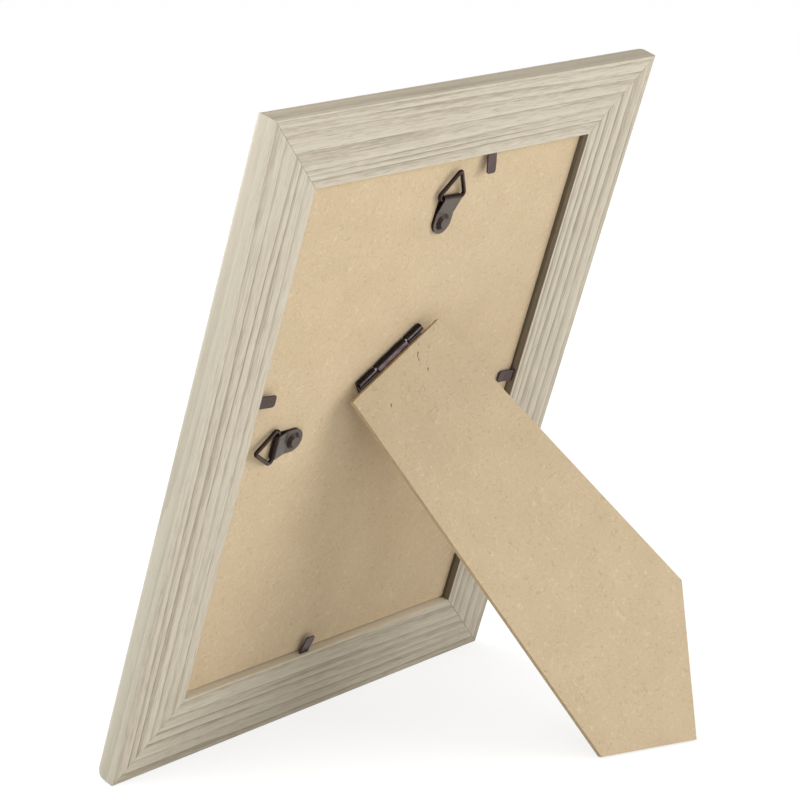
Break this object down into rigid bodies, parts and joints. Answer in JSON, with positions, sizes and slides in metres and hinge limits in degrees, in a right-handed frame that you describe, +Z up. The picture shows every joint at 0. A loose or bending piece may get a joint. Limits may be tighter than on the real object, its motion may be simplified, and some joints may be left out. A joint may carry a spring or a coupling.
{
  "type": "easel back photo frame",
  "caption": "Easel back photo frame: mitred wood moulding round glass and a fibreboard back held by bendable tabs, with a hinged strut to stand on and rings to hang from.",
  "frame": {"origin": "on the table, under the middle of the bounding box of the frame standing in portrait on its strut", "axes": "+Z up, +Y towards the back where the strut is, +X to the right as seen from the front"},
  "size_m": [0.181, 0.1256, 0.2205],
  "materials": {
    "wood_film": "pale washed oak, satin",
    "fibreboard": "bare fibreboard, matte",
    "glass": "clear float glass",
    "paper": "plain white paper",
    "bronzed_steel": "dark bronze lacquer, semi-gloss",
    "tab_steel": "dark bronze lacquer, satin",
    "plain_steel": "bright drawn steel"
  },
  "bodies": {
    "frame": {"rail_top": "wood_film", "tab_anchor_top": "tab_steel", "rail_bottom": "wood_film", "tab_anchor_bottom": "tab_steel", "rail_left": "wood_film", "tab_anchor_left": "tab_steel", "rail_right": "wood_film", "tab_anchor_right": "tab_steel", "corner_v_nails": "plain_steel", "glass_pane": "glass", "photo_insert": "paper", "backing_board": "fibreboard", "hinge_board_leaf": "bronzed_steel", "hinge_pin": "plain_steel", "hanger_strap_top": "bronzed_steel", "hanger_rivet_top": "bronzed_steel", "hanger_strap_side": "bronzed_steel", "hanger_rivet_side": "bronzed_steel"},
    "strut": {"strut": "fibreboard", "hinge_strut_leaf": "bronzed_steel"},
    "top_ring": {"hanger_ring_top": "bronzed_steel"},
    "side_ring": {"hanger_ring_side": "bronzed_steel"},
    "top_tab": {"tab_leaf_top": "tab_steel"},
    "bottom_tab": {"tab_leaf_bottom": "tab_steel"},
    "left_tab": {"tab_leaf_left": "tab_steel"},
    "right_tab": {"tab_leaf_right": "tab_steel"}
  },
  "joints": [
    {"name": "strut_fold", "type": "hinge", "parent": "frame", "child": "strut", "pos_m": [0.00625, -0.01196, 0.13078], "axis": [-0.8151, 0.1857, 0.5487], "range_deg": [0, 41.8]},
    {"name": "top_ring_swing", "type": "hinge", "parent": "frame", "child": "top_ring", "pos_m": [-0.00279, 0.00522, 0.18218], "axis": [-0.9994, -0.0112, -0.0331], "range_deg": [-8, 130]},
    {"name": "side_ring_swing", "type": "hinge", "parent": "frame", "child": "side_ring", "pos_m": [0.0514, -0.01943, 0.10935], "axis": [0, 0.3206, 0.9472], "range_deg": [-8, 130]},
    {"name": "top_tab_bend", "type": "hinge", "parent": "frame", "child": "top_tab", "pos_m": [-0.0177, 0.00976, 0.1948], "axis": [1, 0, 0], "range_deg": [-24, 80]},
    {"name": "bottom_tab_bend", "type": "hinge", "parent": "frame", "child": "bottom_tab", "pos_m": [0.0084, -0.04783, 0.02468], "axis": [-1, 0, 0], "range_deg": [-21, 80]},
    {"name": "left_tab_bend", "type": "hinge", "parent": "frame", "child": "left_tab", "pos_m": [0.0648, -0.0133, 0.12669], "axis": [0, -0.3206, -0.9472], "range_deg": [-19, 80]},
    {"name": "right_tab_bend", "type": "hinge", "parent": "frame", "child": "right_tab", "pos_m": [-0.0648, -0.01894, 0.11002], "axis": [0, 0.3206, 0.9472], "range_deg": [-3.5, 100]}
  ]
}
